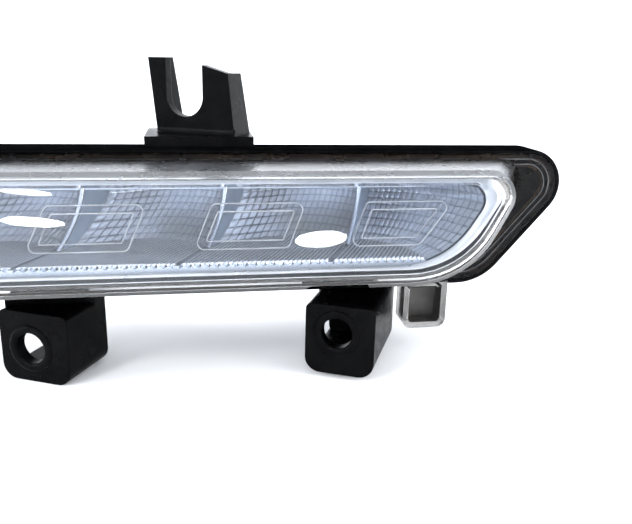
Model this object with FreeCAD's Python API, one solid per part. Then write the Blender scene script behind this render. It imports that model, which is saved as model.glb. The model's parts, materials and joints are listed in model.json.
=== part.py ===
import FreeCAD, Part
import math
import os

# Left-hand bumper light. Millimetres. X is outboard, minus Y is forward, Z is up.
# The datum is the inner lower screw hole, on the front face of its bracket.
# Lamp frame: u runs outboard along the lens, v runs back from the flange face, z runs up from the flange.

# Attitude of the lamp against the datum hole
SWEEP = 26.0
LAMP_X = -39.0
LAMP_Y = -14.3
LAMP_Z = 12.2

# Flange outline, with sharp corners before rounding
FLANGE_HEIGHT = 37.2
FLANGE_TOP_LENGTH = 193.0
FLANGE_END_OVERHANG = 31.7
FLANGE_BOTTOM_LENGTH = FLANGE_TOP_LENGTH - FLANGE_END_OVERHANG
FLANGE_RADII = (9.0, 15.0, 9.5, 9.0)
LEAST_RADIUS = 1.0

# Rim, sealing groove and tub of the housing
LIP = 1.0
LENS_GAP = 0.2
LENS_FLANGE = 2.0
GROOVE_OUTER = 1.8
GROOVE_INNER = 5.0
GROOVE_DEPTH = 5.0
RIM_BACK = 9.5
TUB_WALL = 2.0
TUB_BACK = 36.0
TUB_EDGE = 2.6

# Clear lens: outline at the flange and outline on the raked front
LENS_WALL = 1.8
LENS_BASE_INNER_END = 3.6
LENS_BASE_BOTTOM = 2.8
LENS_TOP_MARGIN = 2.4
LENS_TOP_END_MARGIN = 15.4
LENS_BOTTOM_END_MARGIN = 6.5
LENS_BASE_TOP = FLANGE_HEIGHT - LENS_TOP_MARGIN
LENS_BASE_TOP_END = FLANGE_TOP_LENGTH - LENS_TOP_END_MARGIN
LENS_BASE_BOTTOM_END = FLANGE_BOTTOM_LENGTH - LENS_BOTTOM_END_MARGIN
LENS_BASE_RADII = (6.0, 29.0, 6.5, 6.0)
LENS_FRONT_INNER_END = 7.0
LENS_FRONT_BOTTOM = 9.2
LENS_TOP_DRAFT = 0.4
LENS_TOP_END_DRAFT = 14.1
LENS_BOTTOM_END_DRAFT = 9.0
LENS_FRONT_TOP = LENS_BASE_TOP - LENS_TOP_DRAFT
LENS_FRONT_TOP_END = LENS_BASE_TOP_END - LENS_TOP_END_DRAFT
LENS_FRONT_BOTTOM_END = LENS_BASE_BOTTOM_END - LENS_BOTTOM_END_DRAFT
LENS_FRONT_RADII = (7.0, 26.0, 6.0, 7.0)
LENS_TOP_REACH = 20.0
LENS_RAKE = 18.0
LENS_EDGE = 3.0
LENS_INNER_EDGE = 1.2
LENS_EDGE_KNEE = 0.3
LENS_CORNER_CHORDS = 8
FOOT_THICKNESS = 1.6
FOOT_DEPTH = 4.0
FOOT_CENTRE = (GROOVE_OUTER + GROOVE_INNER) / 2

# Outline pads on the inner face of the lens
PAD_LENGTH = 21.5
PAD_HEIGHT = 10.4
PAD_SLANT = 4.3
END_PAD_SLANT = 9.0
PAD_BORDER = 1.9
PAD_RISE = 0.4
FIRST_PAD = 15.3
PAD_TOP_GAP = 6.4

# Locating tab under the lens
TAB_FROM_END = 21.8
TAB_START = FLANGE_BOTTOM_LENGTH - TAB_FROM_END
TAB_LENGTH = 12.5
TAB_DROP = 13.0
TAB_DEPTH = 7.0
TAB_WALL = 1.6
TAB_ROUND = 2.5

# Opening of the reflector and its bright rim
OPENING_INNER_END = 17.5
OPENING_BOTTOM = 12.0
OPENING_TOP_MARGIN = 3.3
OPENING_TOP_END_MARGIN = 7.0
OPENING_BOTTOM_END_MARGIN = 3.2
OPENING_TOP = LENS_FRONT_TOP - OPENING_TOP_MARGIN
OPENING_TOP_END = LENS_FRONT_TOP_END - OPENING_TOP_END_MARGIN
OPENING_BOTTOM_END = LENS_FRONT_BOTTOM_END - OPENING_BOTTOM_END_MARGIN
OPENING_RADII = (4.0, 22.0, 4.0, 4.0)
OPENING_TOP_V = -17.0
OPENING_BOTTOM_V = -20.5
RIM_BLEND = 0.9
RIM_INNER_BAND = 3.2
RIM_GAP = 0.5
RIM_THICKNESS = 1.4

# Reflector: cells step back with the sweep while their axes stay along the car
CELLS = 4
FIRST_DIVIDER = 19.7
LAST_CELL_OVERRUN = 5.76
CELL_PITCH = (OPENING_TOP_END + LAST_CELL_OVERRUN - FIRST_DIVIDER) / CELLS
CEILING_DROP = 11.0
CEILING_Z = FLANGE_HEIGHT - CEILING_DROP
CEILING_KNEE_V = 9.0
CEILING = 1.5
PARABOLA_RISE = 3.0
PARABOLA_TOP = CEILING_Z + PARABOLA_RISE
DIVIDER_V = 5.7
DIVIDER_WALL = 1.2
DIVIDER_CURVE = 21.7
DIVIDER_STEPS = 7
BOWL_SETBACK = 12.3
BOWL_CURVE = 13.2
BOWL_SIDE_DEPTH = 16.0
BOWL_SIDE_VERTEX = 22.0
BOWL_COLUMNS = 16
BOWL_ROWS = 8
BACK_COLUMNS = 4
BACK_ROWS = 3
SKIN = 2.0
SHELF_Z = 12.7
FLUTE_RISE = 0.6
SHELF = 1.8
END_WALL = 1.6

# Reflector lugs and their screws
LUG_V = 9.0
LUG = 2.0
LUG_ABOVE_SHELF = 4.3
LUG_BELOW_CEILING = 1.2
LUG_BOTTOM = SHELF_Z + LUG_ABOVE_SHELF
LUG_TOP = CEILING_Z - LUG_BELOW_CEILING
INNER_LUG_REACH = 10.1
INNER_SCREW_REACH = 6.9
OUTER_LUG_REACH = 7.0
OUTER_SCREW_REACH = 2.1
LUG_ROOT = 7.5
INNER_LUG = (OPENING_INNER_END - INNER_LUG_REACH, OPENING_INNER_END)
OUTER_LUG = (OPENING_TOP_END - LUG_ROOT, OPENING_TOP_END + OUTER_LUG_REACH)
LUG_SCREWS_U = (OPENING_INNER_END - INNER_SCREW_REACH, OPENING_TOP_END + OUTER_SCREW_REACH)
BOSS_RADIUS = 3.2
SCREW_RADIUS = 1.3
SCREW_HEAD_RADIUS = 2.6
SCREW_HEAD = 1.5
HEXAGON = 6
SCREW_LENGTH = 9.0
SCREW_HOLE_GAP = 0.15

# Light board with its emitters
BOARD = 1.6
LED_BOARD_LEAD = 8.3
LED_BOARD_TAIL = 4.5
LED_BOARD_START = FIRST_DIVIDER + LED_BOARD_LEAD
LED_BOARD_END = OPENING_TOP_END - LED_BOARD_TAIL
LED_BOARD_FRONT = 9.4
LED_BOARD_BACK = 23.6
LED_BACK_OF_DIVIDER = 15.5
LED_SIDE = 3.5
LED_HEIGHT = 0.9
LED_WINDOW_SIDE = 2.4
LED_WINDOW_RISE = 0.7
LED_WINDOW = 5.0
PEG_RADIUS = 1.0
PEG_V = 18.0
PEG_PROUD = 0.4

# Connector socket on the back
SOCKET_U = 54.0
SOCKET_Z = FLANGE_HEIGHT / 2
SOCKET_LENGTH = 20.0
SOCKET_HEIGHT = 12.0
SOCKET_DEPTH = 16.0
SOCKET_WALL = 1.6
SOCKET_ROUND = 3.0
SOCKET_KEY = 1.5
LATCH_LENGTH = 5.0
LATCH_RISE = 1.4
PINS = 3
PIN_PITCH = 4.4
PIN_WIDTH = 1.5
PIN_THICKNESS = 0.8
PIN_REACH = 7.5

# Driver board behind the bowls, with its components in a row after the terminals
DRIVER_V = 26.0
DRIVER_LEAD = 12.0
DRIVER_START = SOCKET_U - DRIVER_LEAD
DRIVER_LENGTH = 74.0
DRIVER_EDGE = 2.5
DRIVER_BOTTOM = GROOVE_INNER + TUB_WALL + DRIVER_EDGE
DRIVER_HEIGHT = FLANGE_HEIGHT - DRIVER_BOTTOM * 2
DRIVER_SCREW_INSET = 3.4
COMPONENT_Z = FLANGE_HEIGHT / 2
COMPONENT_GAP = 2.3
CHIP_SIDE = 7.0
CHIP_HEIGHT = 1.2
CHIP_START = SOCKET_U + PIN_PITCH * (PINS - 1) / 2 + PIN_WIDTH / 2 + COMPONENT_GAP
CAPACITORS = 2
CAPACITOR_RADIUS = 3.1
CAPACITOR_HEIGHT = 5.0
CAPACITOR_PITCH = CAPACITOR_RADIUS * 2 + COMPONENT_GAP
FIRST_CAPACITOR = CHIP_START + CHIP_SIDE + COMPONENT_GAP + CAPACITOR_RADIUS
COIL_SIDE = 8.4
COIL_HEIGHT = 4.0
COIL_CORNER = 2.2
COIL_START = FIRST_CAPACITOR + CAPACITOR_PITCH * CAPACITORS - CAPACITOR_RADIUS
LINK_LENGTH = 9.0
LINK_THICKNESS = 0.4
LINK_START = COIL_START + COIL_SIDE + COMPONENT_GAP
LINK_DROP = 3.0

# Vent on the back
VENT_U = 128.0
VENT_Z = FLANGE_HEIGHT / 2
SPOUT_RADIUS = 3.6
SPOUT_BORE = 2.2
SPOUT_LENGTH = 4.0
MEMBRANE = 0.4
VENT_CAP_WALL = 1.3
VENT_CAP_GAP = 0.6
VENT_RIBS = 4
VENT_RIB = 1.4

# Boxed screw brackets below the lamp
SCREW_HOLE = 8.2
FACE = 3.0
BRACKET_WALL = 2.4
BRACKET_RADII = (4.0, 4.0, 1.6, 1.6)
INNER_BRACKET = (-8.7, 11.0, -9.0, 9.6)
INNER_BRACKET_DEPTH = 17.0
OUTER_HOLE_X = 72.6
OUTER_HOLE_Y = 25.8
OUTER_HOLE_Z = 3.9
OUTER_BRACKET = (-8.4, 10.0, -11.4, 7.6)
OUTER_BRACKET_DEPTH = 27.0
NECK_LAP = 2.0

# Hook bracket above the lamp, with a slot open at the top
HOOK_Y = 29.0
HOOK_PLATE = 3.0
HOOK_SLOT = 10.0
HOOK_SLOT_X = 30.0
HOOK_SLOT_RISE = 12.1
HOOK_INNER_RISE = 21.5
HOOK_PEAK_RISE = 19.9
HOOK_OUTER_RISE = 18.0
HOOK_FOOT_Z = LAMP_Z + FLANGE_HEIGHT
HOOK_SLOT_Z = HOOK_FOOT_Z + HOOK_SLOT_RISE
HOOK_INNER_TOP = (20.2, HOOK_FOOT_Z + HOOK_INNER_RISE)
HOOK_OUTER_PEAK = HOOK_FOOT_Z + HOOK_PEAK_RISE
HOOK_OUTER_TOP = (41.9, HOOK_FOOT_Z + HOOK_OUTER_RISE)
HOOK_INNER_FOOT = 22.4
HOOK_OUTER_FOOT = 43.8
HOOK_SIDE_TOP = 8.6
HOOK_SIDE_FOOT = 11.0
HOOK_SIDE_WALL = 2.6
HOOK_BASE_START = 71.0
HOOK_BASE_END = 98.0
HOOK_BASE_RISE = 2.8
HOOK_BASE_BACK = 22.0
HOOK_FILLET = 1.6

V = FreeCAD.Vector
LAMP = FreeCAD.Placement(V(LAMP_X, LAMP_Y, LAMP_Z), FreeCAD.Rotation(V(0, 0, 1), SWEEP))
SIN = math.sin(math.radians(SWEEP))
COS = math.cos(math.radians(SWEEP))
TUB_INNER = GROOVE_INNER + TUB_WALL
TUB_FLOOR = TUB_BACK - TUB_WALL
CELL_X = CELL_PITCH * COS
BOARD_Z = CEILING_Z + CEILING
FAR = 400.0


def on_car(shape):
    """Lamp-frame shape set at its place on the car."""
    placed = shape.copy()
    placed.Placement = LAMP.multiply(placed.Placement)
    return placed


def inset_corners(corners, inset):
    """Corners of a counter-clockwise outline whose sides all move inward."""
    sides = []
    for i, (u, z) in enumerate(corners):
        next_u, next_z = corners[(i + 1) % len(corners)]
        along = V(next_u - u, 0, next_z - z).normalize()
        inward = V(-along.z, 0, along.x)
        sides.append((V(u, 0, z) + inward * inset, along))
    points = []
    for i, (start, along) in enumerate(sides):
        other, direction = sides[i - 1]
        gap = start - other
        turn = direction.x * along.z - direction.z * along.x
        points.append(other + direction * ((gap.x * along.z - gap.z * along.x) / turn))
    return points


def rounded(corners, radii, inset=0.0):
    """Closed wire in the uz plane: straight sides joined by arcs."""
    points = inset_corners(corners, inset)
    turns = []
    for i, corner in enumerate(points):
        before = (points[i - 1] - corner).normalize()
        after = (points[(i + 1) % len(points)] - corner).normalize()
        half = before.getAngle(after) / 2
        radius = max(radii[i] - inset, LEAST_RADIUS)
        reach = radius / math.tan(half)
        centre = corner + (before + after).normalize() * (radius / math.sin(half))
        middle = centre + (corner - centre).normalize() * radius
        turns.append((corner + before * reach, middle, corner + after * reach))
    edges = []
    for i, (start, middle, end) in enumerate(turns):
        edges.append(Part.Arc(start, middle, end).toShape())
        edges.append(Part.makeLine(end, turns[(i + 1) % len(turns)][0]))
    return Part.Wire(edges)


def chorded(wire):
    """Outline with each arc as a few equal chords, so that walls between outlines stay plain."""
    points = []
    for edge in wire.Edges:
        chords = LENS_CORNER_CHORDS if isinstance(edge.Curve, Part.Circle) else 1
        points.extend(edge.discretize(chords + 1)[:-1])
    return Part.makePolygon(points + points[:1])


def prism(wire, start, end):
    """Solid between two depths, from an outline in the uz plane."""
    face = Part.Face(wire)
    face.translate(V(0, start, 0))
    return face.extrude(V(0, end - start, 0))


def polygon_prism(points, direction):
    """Solid from a flat polygon drawn along a direction."""
    return Part.Face(Part.makePolygon(points + points[:1])).extrude(direction)


def box(low, high):
    """Box between two corners."""
    size = [b - a for a, b in zip(low, high)]
    return Part.makeBox(*size, V(*low))


def drum(radius, length, at):
    """Cylinder along v that starts at a point."""
    return Part.makeCylinder(radius, length, V(*at), V(0, 1, 0))


def hexagon(radius, length, at):
    """Six-sided post along v that starts at a point."""
    corners = []
    for index in range(HEXAGON):
        turn = 2 * math.pi * index / HEXAGON
        corners.append(V(*at) + V(radius * math.cos(turn), 0, radius * math.sin(turn)))
    return polygon_prism(corners, V(0, length, 0))


def quad(inner, outer_bottom, outer_top, bottom, top):
    """Four corners of a lamp outline, counter-clockwise from the lower inner one."""
    return [(inner, bottom), (outer_bottom, bottom), (outer_top, top), (inner, top)]


FLANGE_CORNERS = quad(0.0, FLANGE_BOTTOM_LENGTH, FLANGE_TOP_LENGTH, 0.0, FLANGE_HEIGHT)
BASE_CORNERS = quad(LENS_BASE_INNER_END, LENS_BASE_BOTTOM_END, LENS_BASE_TOP_END,
                    LENS_BASE_BOTTOM, LENS_BASE_TOP)
FRONT_CORNERS = quad(LENS_FRONT_INNER_END, LENS_FRONT_BOTTOM_END, LENS_FRONT_TOP_END,
                     LENS_FRONT_BOTTOM, LENS_FRONT_TOP)
OPENING_CORNERS = quad(OPENING_INNER_END, OPENING_BOTTOM_END, OPENING_TOP_END,
                       OPENING_BOTTOM, OPENING_TOP)


def flange(inset):
    """Flange outline moved inward."""
    return rounded(FLANGE_CORNERS, FLANGE_RADII, inset)


def lens_front(inset, back):
    """Lens outline parallel to the raked front, moved inward and set back along the drafted walls."""
    rake = math.radians(LENS_RAKE)
    blend = back / (LENS_TOP_REACH + LENS_FLANGE)
    flat = []
    for (u, z), (base_u, base_z) in zip(FRONT_CORNERS, BASE_CORNERS):
        rise = z + (base_z - z) * blend - LENS_FRONT_TOP
        flat.append((u + (base_u - u) * blend, rise / math.cos(rake)))
    wire = chorded(rounded(flat, LENS_FRONT_RADII, inset))
    wire.rotate(V(0, 0, 0), V(1, 0, 0), -LENS_RAKE)
    wire.translate(V(0, back / math.cos(rake) - LENS_TOP_REACH, LENS_FRONT_TOP))
    return wire


def lens_tray(inset, edge):
    """Tray from the flange to the raked front, with its front edge turned in two steps."""
    base = chorded(rounded(BASE_CORNERS, LENS_BASE_RADII, inset))
    base.translate(V(0, LENS_FLANGE, 0))
    knee = edge * LENS_EDGE_KNEE
    sections = [base, lens_front(inset, inset + edge), lens_front(inset + knee, inset + knee),
                lens_front(inset + edge, inset)]
    return Part.makeLoft(sections, True, True)


def lens_pad(index):
    """Raised outline on the inner face of the lens, one for each cell."""
    u = FIRST_PAD + index * CELL_PITCH
    end_slant = END_PAD_SLANT if index == CELLS - 1 else PAD_SLANT
    high = -PAD_TOP_GAP
    low = high - PAD_HEIGHT
    slant = [(u - PAD_SLANT, low), (u + PAD_LENGTH - end_slant, low), (u + PAD_LENGTH, high), (u, high)]
    face = V(0, LENS_WALL, 0)
    rise = V(0, PAD_RISE, 0)
    frame = polygon_prism([point + face for point in inset_corners(slant, 0.0)], rise)
    frame = frame.cut(polygon_prism([point + face for point in inset_corners(slant, PAD_BORDER)], rise))
    frame.rotate(V(0, 0, 0), V(1, 0, 0), -LENS_RAKE)
    frame.translate(V(0, -LENS_TOP_REACH, LENS_FRONT_TOP))
    return frame


def lens_tab():
    """Tray-shaped tab below the flange: back panel, side walls and floor, open to the front."""
    end = TAB_START + TAB_LENGTH
    sides = quad(TAB_START, end, end, -TAB_DROP, LIP + TAB_ROUND)
    radii = [TAB_ROUND] * len(sides)
    tray = prism(rounded(sides, radii), 0, TAB_DEPTH)
    hollow = quad(TAB_START + TAB_WALL, end - TAB_WALL, end - TAB_WALL, TAB_WALL - TAB_DROP, -LIP)
    tray = tray.cut(prism(rounded(hollow, [LEAST_RADIUS] * len(hollow)), 0, TAB_DEPTH - TAB_WALL))
    return tray.cut(box((TAB_START, LENS_FLANGE, -LENS_GAP), (end, TAB_DEPTH, LIP + TAB_ROUND)))


def make_outer_lens():
    """Clear tray with its flange, foot, pads and tab."""
    lens = prism(flange(LIP + LENS_GAP), 0, LENS_FLANGE)
    lens = lens.fuse(lens_tray(0.0, LENS_EDGE))
    lens = lens.cut(lens_tray(LENS_WALL, LENS_INNER_EDGE))
    lens = lens.fuse(make_foot()).fuse(lens_tab())
    for index in range(CELLS):
        lens = lens.fuse(lens_pad(index))
    return lens.removeSplitter()


def make_foot():
    """Ring on the back of the lens that stands in the groove."""
    end = LENS_FLANGE + FOOT_DEPTH
    ring = prism(flange(FOOT_CENTRE - FOOT_THICKNESS / 2), LENS_FLANGE, end)
    return ring.cut(prism(flange(FOOT_CENTRE + FOOT_THICKNESS / 2), LENS_FLANGE, end))


def make_groove():
    """Space of the sealing groove behind the lens flange."""
    end = LENS_FLANGE + GROOVE_DEPTH
    return prism(flange(GROOVE_OUTER), LENS_FLANGE, end).cut(prism(flange(GROOVE_INNER), LENS_FLANGE, end))


def make_sealant():
    """Bead that fills the groove round the foot of the lens."""
    return make_groove().cut(make_foot())


def screw_bracket(hole, face, depth):
    """Boxed bracket on the car's axes, with a neck up to the rim."""
    x, y, z = hole
    left, right, bottom, top = face
    corners = quad(x + left, x + right, x + right, z + bottom, z + top)
    shell = prism(rounded(corners, BRACKET_RADII), y, y + depth)
    neck = box((x + left, y, z + top - NECK_LAP), (x + right, y + depth, LAMP_Z + GROOVE_INNER))
    behind_flange = on_car(box((-FAR, LENS_FLANGE, -FAR), (FAR, RIM_BACK, FAR)))
    return shell.fuse(neck.common(behind_flange))


def bracket_hollow(hole, face, depth, back):
    """Space inside a boxed bracket, open to the inboard side, with its screw hole."""
    x, y, z = hole
    left, right, bottom, top = face
    corners = quad(x + left - BRACKET_WALL * 2, x + right, x + right, z + bottom, z + top)
    hollow = prism(rounded(corners, BRACKET_RADII, BRACKET_WALL), y + FACE, y + depth - back)
    return hollow.fuse(drum(SCREW_HOLE / 2, FACE, hole))


def hook_bracket():
    """Plate with an open slot, two side walls that run back and a base on the rim."""
    foot_z = HOOK_FOOT_Z
    inner_x, inner_z = HOOK_INNER_TOP
    outer_x, outer_z = HOOK_OUTER_TOP
    peak_x = HOOK_SLOT_X + HOOK_SLOT / 2
    outline = [(HOOK_INNER_FOOT, foot_z), (HOOK_OUTER_FOOT, foot_z), (outer_x, outer_z),
               (peak_x, HOOK_OUTER_PEAK), (peak_x - HOOK_SLOT, inner_z), (inner_x, inner_z)]
    points = [V(x, HOOK_Y, z) for x, z in outline]
    plate = polygon_prism(points, V(0, HOOK_PLATE, 0))
    slot = drum(HOOK_SLOT / 2, HOOK_PLATE, (HOOK_SLOT_X, HOOK_Y, HOOK_SLOT_Z))
    slot = slot.fuse(box((peak_x - HOOK_SLOT, HOOK_Y, HOOK_SLOT_Z), (peak_x, HOOK_Y + HOOK_PLATE, inner_z)))
    hook = plate.cut(slot)
    for top_x, top_z, foot_x, wall in ((outer_x, outer_z, HOOK_OUTER_FOOT, -HOOK_SIDE_WALL),
                                       (inner_x, inner_z, HOOK_INNER_FOOT, HOOK_SIDE_WALL)):
        side = [V(top_x, HOOK_Y, top_z), V(foot_x, HOOK_Y, foot_z),
                V(foot_x + wall, HOOK_Y, foot_z), V(top_x + wall, HOOK_Y, top_z)]
        side_wall = polygon_prism(side, V(0, HOOK_SIDE_FOOT, 0))
        slope = [V(-FAR, HOOK_Y, foot_z), V(-FAR, HOOK_Y + HOOK_SIDE_FOOT, foot_z),
                 V(-FAR, HOOK_Y + HOOK_SIDE_TOP, top_z), V(-FAR, HOOK_Y, top_z)]
        hook = hook.fuse(side_wall.common(polygon_prism(slope, V(FAR * 2, 0, 0))))
    return hook.fuse(hook_fillet())


def hook_fillet():
    """Rounded inside corner where the hook plate rises from its base."""
    base_top = HOOK_FOOT_Z + HOOK_BASE_RISE
    length = HOOK_OUTER_FOOT - HOOK_INNER_FOOT
    strip = box((HOOK_INNER_FOOT, HOOK_Y - HOOK_FILLET, base_top),
                (HOOK_OUTER_FOOT, HOOK_Y, base_top + HOOK_FILLET))
    round_off = Part.makeCylinder(HOOK_FILLET, length,
                                  V(HOOK_INNER_FOOT, HOOK_Y - HOOK_FILLET, base_top + HOOK_FILLET), V(1, 0, 0))
    behind_flange = on_car(box((-FAR, LENS_FLANGE, -FAR), (FAR, HOOK_BASE_BACK, FAR)))
    return strip.cut(round_off).common(behind_flange)


def socket():
    """Connector shroud behind the tub, with a latch on top."""
    corners = quad(SOCKET_U - SOCKET_LENGTH / 2, SOCKET_U + SOCKET_LENGTH / 2, SOCKET_U + SOCKET_LENGTH / 2,
                   SOCKET_Z - SOCKET_HEIGHT / 2, SOCKET_Z + SOCKET_HEIGHT / 2)
    radii = [SOCKET_ROUND] * len(corners)
    mouth = TUB_BACK + SOCKET_DEPTH
    shroud = prism(rounded(corners, radii), TUB_FLOOR, mouth)
    latch_low = SOCKET_Z + SOCKET_HEIGHT / 2 - SOCKET_WALL
    ramp = [V(SOCKET_U - LATCH_LENGTH / 2, mouth, latch_low),
            V(SOCKET_U - LATCH_LENGTH / 2, mouth - LATCH_LENGTH, latch_low),
            V(SOCKET_U - LATCH_LENGTH / 2, mouth - LATCH_LENGTH, latch_low + SOCKET_WALL + LATCH_RISE)]
    shroud = shroud.fuse(polygon_prism(ramp, V(LATCH_LENGTH, 0, 0)))
    hollow = prism(rounded(corners, radii, SOCKET_WALL), TUB_BACK, mouth)
    key_low = SOCKET_Z - SOCKET_HEIGHT / 2
    key = box((SOCKET_U - SOCKET_KEY / 2, TUB_BACK, key_low),
              (SOCKET_U + SOCKET_KEY / 2, mouth - SOCKET_KEY, key_low + SOCKET_WALL + SOCKET_KEY))
    return shroud, hollow.cut(key)


def driver_screw_places():
    """Places of the driver board's screws on its front face."""
    z = DRIVER_BOTTOM + DRIVER_HEIGHT / 2
    return [(DRIVER_START + DRIVER_SCREW_INSET, DRIVER_V, z),
            (DRIVER_START + DRIVER_LENGTH - DRIVER_SCREW_INSET, DRIVER_V, z)]


def lug_screw_places():
    """Places of the reflector's screws on the front of its lugs."""
    return [(u, LUG_V, (LUG_BOTTOM + LUG_TOP) / 2) for u in LUG_SCREWS_U]


def bosses():
    """Posts on the tub floor and the screw bores in them."""
    posts = []
    bores = []
    for places, thickness in ((lug_screw_places(), LUG), (driver_screw_places(), BOARD)):
        for u, v, z in places:
            start = v + thickness
            posts.append(hexagon(BOSS_RADIUS, TUB_FLOOR - start, (u, start, z)))
            bores.append(drum(SCREW_RADIUS, SCREW_LENGTH - thickness, (u, start, z)))
    return posts, bores


def make_housing():
    """Rim, tub, brackets, socket and vent spout in one moulding."""
    tub = prism(flange(GROOVE_INNER), 0, TUB_BACK)
    back_edges = [e for e in tub.Edges if all(abs(v.Y - TUB_BACK) < 0.01 for v in e.Vertexes)]
    body = prism(flange(0), 0, RIM_BACK).fuse(tub.makeChamfer(TUB_EDGE, back_edges))
    base_top = FLANGE_HEIGHT + HOOK_BASE_RISE
    body = body.fuse(box((HOOK_BASE_START, LENS_FLANGE, FLANGE_HEIGHT - GROOVE_INNER),
                         (HOOK_BASE_END, HOOK_BASE_BACK, base_top)))
    shroud, shroud_hollow = socket()
    body = body.fuse(shroud)
    body = body.fuse(drum(SPOUT_RADIUS, SPOUT_LENGTH + TUB_WALL, (VENT_U, TUB_FLOOR, VENT_Z)))
    body = on_car(body)
    inner = ((0.0, 0.0, 0.0), INNER_BRACKET, INNER_BRACKET_DEPTH)
    outer = ((OUTER_HOLE_X, OUTER_HOLE_Y, OUTER_HOLE_Z), OUTER_BRACKET, OUTER_BRACKET_DEPTH)
    body = body.fuse(screw_bracket(*inner)).fuse(screw_bracket(*outer))
    body = body.fuse(hook_bracket())

    cavity = prism(flange(TUB_INNER), 0, TUB_FLOOR)
    posts, bores = bosses()
    for post in posts:
        cavity = cavity.cut(post)
    spaces = [cavity, prism(flange(LIP), 0, LENS_FLANGE), make_groove(), shroud_hollow]
    spaces.append(drum(SPOUT_BORE, SPOUT_LENGTH + TUB_WALL, (VENT_U, TUB_FLOOR, VENT_Z)))
    tab_low = TAB_START - LENS_GAP
    tab_high = TAB_START + TAB_LENGTH + LENS_GAP
    spaces.append(box((tab_low, 0, -LIP), (tab_high, LENS_FLANGE, LIP * 2)))
    spaces.append(box((tab_low, 0, -TAB_DROP - LENS_GAP), (tab_high, TAB_DEPTH + LENS_GAP, 0)))
    spaces.extend(bores)
    spaces.extend(make_pins())
    for space in spaces:
        body = body.cut(on_car(space))
    body = body.cut(bracket_hollow(*inner, 0.0)).cut(bracket_hollow(*outer, BRACKET_WALL))
    return body.removeSplitter()


def cell_corner(index):
    """Place on the car of a cell's divider edge, at the height of the flange's lower edge."""
    return LAMP.multVec(V(FIRST_DIVIDER + index * CELL_PITCH, DIVIDER_V, 0))


def cell_front(x, v):
    """Depth along the car, from the divider, of a plane parallel to the lens."""
    return (v - DIVIDER_V + x * SIN) / COS


def bowl_depth(x, z):
    """Depth of the bowl behind the divider's edge: a parabola across plus a parabola down."""
    side = 1 - ((BOWL_SIDE_VERTEX - x) / BOWL_SIDE_VERTEX) ** 2
    return BOWL_SETBACK + BOWL_SIDE_DEPTH * side - (PARABOLA_TOP - z) ** 2 / BOWL_CURVE


def flat_face(points):
    """Flat face through corner points."""
    return Part.Face(Part.makePolygon(points + points[:1]))


def bowl_solid(left, right, bottom, top, columns, rows, back, front_v, flute):
    """Solid in front of a bowl: flat facets behind, fluted floor, open planes elsewhere."""
    xs = [left + (right - left) * i / columns for i in range(columns + 1)]
    zs = [bottom + (top - bottom) * j / rows for j in range(rows + 1)]

    def at(x, z):
        return V(x, bowl_depth(x, z) + back, z)

    def front(x, z):
        return V(x, cell_front(x, front_v), z)

    faces = []
    front_edge = []
    for x, next_x in zip(xs, xs[1:]):
        crest_x = (x + next_x) / 2
        low, high = at(x, zs[0]), at(next_x, zs[0])
        crest_rise = (at(x, zs[1]).y - low.y) / (zs[1] - zs[0]) * flute
        crest = V(crest_x, (low.y + high.y) / 2 + crest_rise, zs[0] + flute)
        floor_front = [front(x, zs[0]), front(crest_x, zs[0] + flute), front(next_x, zs[0])]
        if flute:
            faces.append(flat_face([low, crest, high, at(next_x, zs[1]), at(x, zs[1])]))
            faces.append(flat_face(floor_front[:2] + [crest, low]))
            faces.append(flat_face(floor_front[1:] + [high, crest]))
            front_edge.extend(floor_front[:2])
        else:
            faces.append(flat_face([low, high, at(next_x, zs[1]), at(x, zs[1])]))
            faces.append(flat_face([floor_front[0], floor_front[2], high, low]))
            front_edge.append(floor_front[0])
        for z, next_z in zip(zs[1:], zs[2:]):
            faces.append(flat_face([at(x, z), at(next_x, z), at(next_x, next_z), at(x, next_z)]))
    front_edge.append(front(xs[-1], zs[0]))
    faces.append(flat_face(front_edge + [front(xs[-1], top), front(xs[0], top)]))
    faces.append(flat_face([at(x, top) for x in xs] + [front(xs[-1], top), front(xs[0], top)]))
    for x in (xs[0], xs[-1]):
        faces.append(flat_face([at(x, z) for z in zs] + [front(x, top), front(x, bottom)]))
    solid = Part.Solid(Part.Shell(faces))
    solid.fix(0.001, 0.001, 0.001)
    return solid


def in_cell(solid, index):
    """Cell-frame solid set at its divider on the car."""
    solid.translate(cell_corner(index))
    return solid


def ceiling_line(v):
    """Height of the sloping ceiling at a depth in front of its knee."""
    slope = (OPENING_TOP - CEILING_Z) / (CEILING_KNEE_V - OPENING_TOP_V)
    return OPENING_TOP - (v - OPENING_TOP_V) * slope


def front_space():
    """Open space in front of the dividers' curved edges, above the flutes and under the ceiling."""
    crest = SHELF_Z + FLUTE_RISE
    reach = OPENING_BOTTOM_V * 2
    along = V(FLANGE_TOP_LENGTH, 0, 0)
    points = [V(0, reach, crest), V(0, reach, FLANGE_HEIGHT), V(0, DIVIDER_V, FLANGE_HEIGHT)]
    for i in range(DIVIDER_STEPS + 1):
        drop = (PARABOLA_TOP - crest) * i / DIVIDER_STEPS
        points.append(V(0, DIVIDER_V - drop ** 2 / DIVIDER_CURVE * COS, PARABOLA_TOP - drop))
    under_ceiling = [V(0, reach, crest), V(0, reach, ceiling_line(reach)),
                     V(0, CEILING_KNEE_V, CEILING_Z), V(0, CEILING_KNEE_V, crest)]
    return polygon_prism(points, along).common(polygon_prism(under_ceiling, along))


def front_block():
    """Block that becomes the sloping ceiling, the end walls and the shelf."""
    bottom = SHELF_Z - SHELF
    points = [V(0, OPENING_TOP_V, ceiling_line(OPENING_TOP_V) + CEILING / 2),
              V(0, CEILING_KNEE_V, CEILING_Z + CEILING), V(0, CEILING_KNEE_V, bottom),
              V(0, OPENING_BOTTOM_V, bottom)]
    return polygon_prism(points, V(FLANGE_TOP_LENGTH, 0, 0))


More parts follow.
